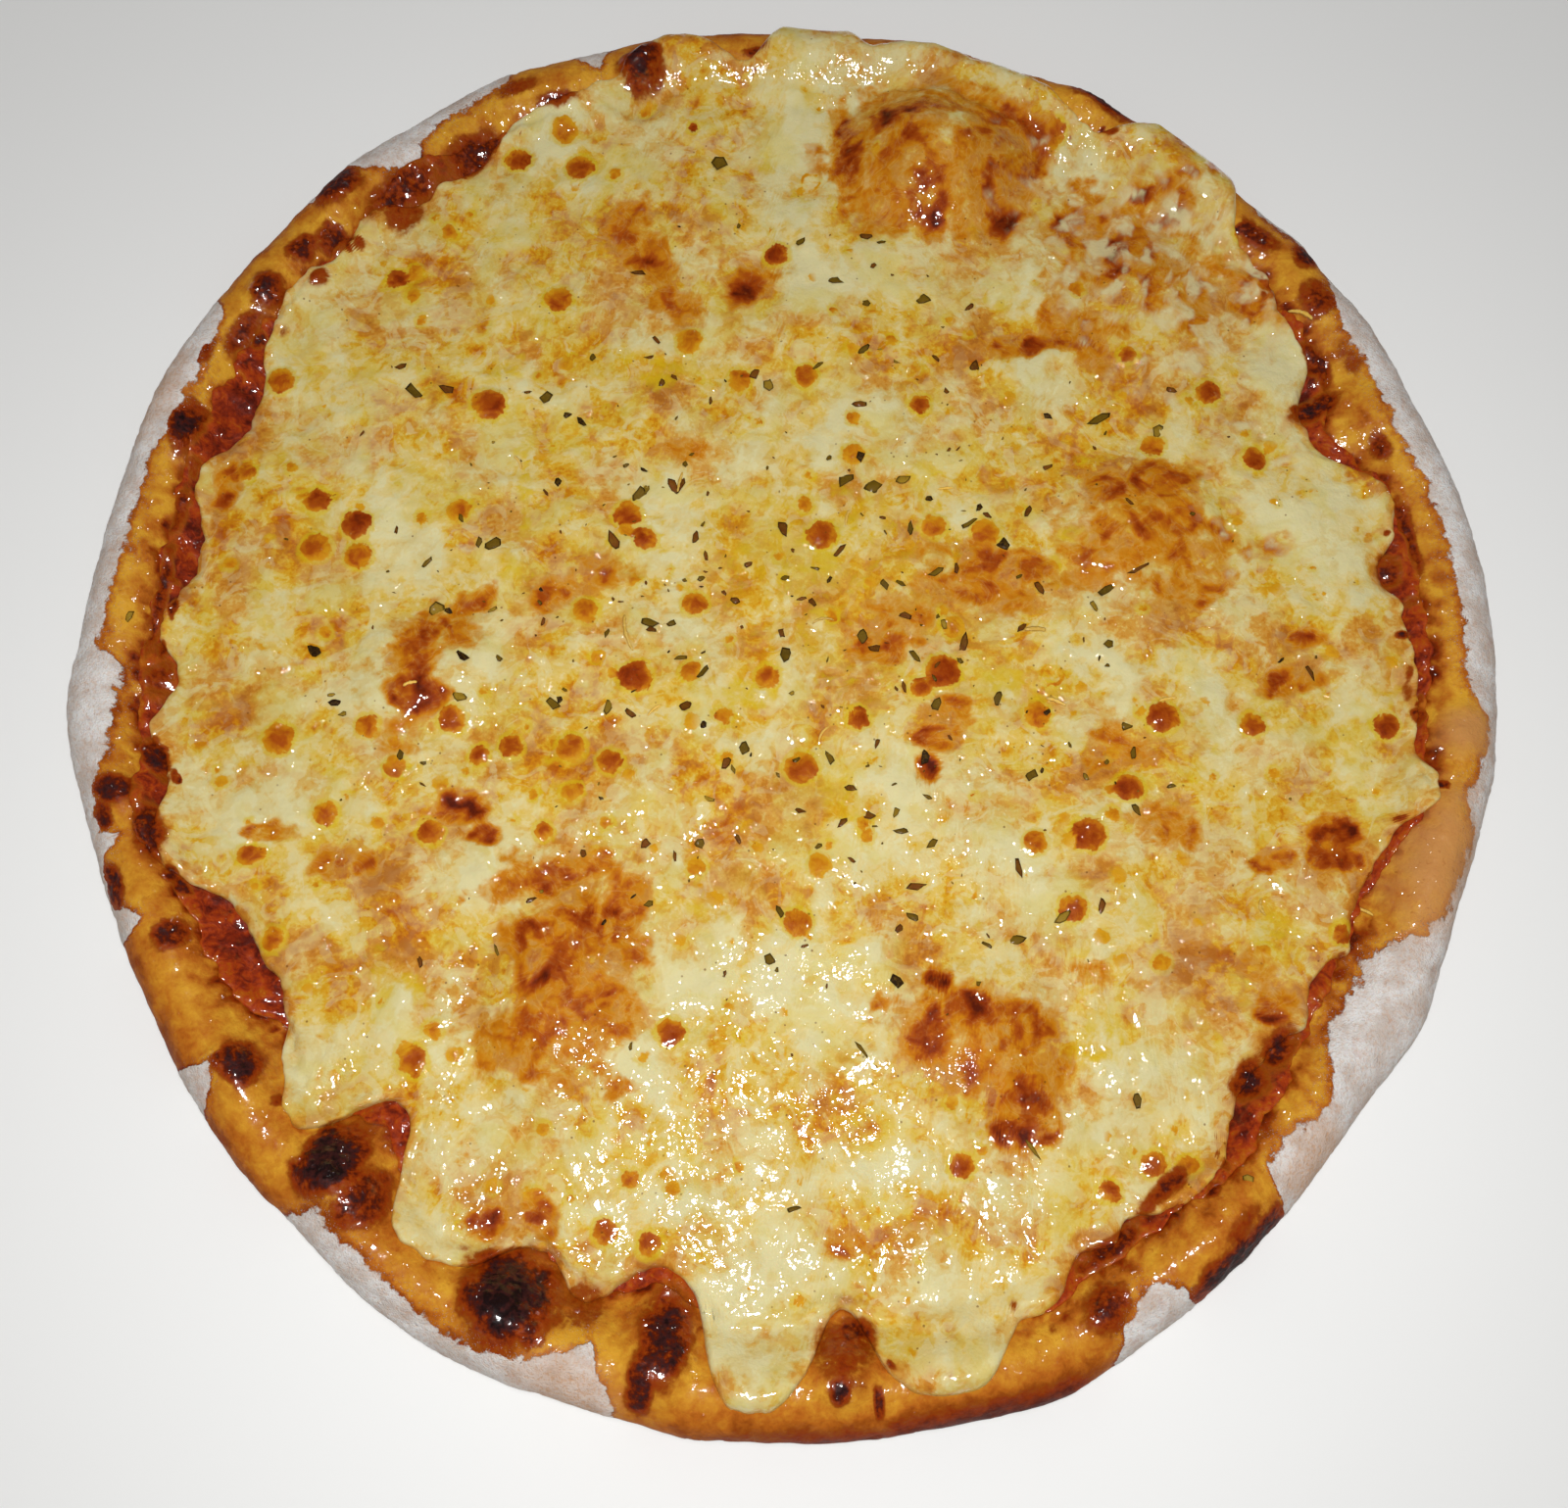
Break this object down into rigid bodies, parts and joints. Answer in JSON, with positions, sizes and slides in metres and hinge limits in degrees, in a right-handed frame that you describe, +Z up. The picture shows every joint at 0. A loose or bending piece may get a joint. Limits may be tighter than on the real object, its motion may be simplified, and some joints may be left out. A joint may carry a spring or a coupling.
{
  "type": "margherita pizza",
  "caption": "Baked round cheese and tomato pizza with a raised, blistered, flour-dusted rim, a red sauce band and dried herb flakes.",
  "frame": {"origin": "centre of the pizza on the surface that it lies on, under the middle of its box", "axes": "+Z up through the flat pizza, +X to the right and +Y away from a person who looks at it from the front"},
  "size_m": [0.2897, 0.3017, 0.0203],
  "materials": {
    "crust": "baked wheat dough, golden brown and oily inside the rim, dusted with matte white flour outside, charred on its bubbles",
    "tomato_sauce": "thick cooked tomato sauce, dark red, wet with oil",
    "melted_cheese": "melted cheese, pale cream to orange and brown where it blistered, glossy with oil",
    "oregano": "crushed dried oregano leaf, dark olive to brown, matte",
    "herb_stalk": "dry herb stalks and seed husks, straw coloured, matte"
  },
  "bodies": {
    "root": {"crust": "crust", "tomato_sauce": "tomato_sauce", "melted_cheese": "melted_cheese"}
  },
  "joints": []
}
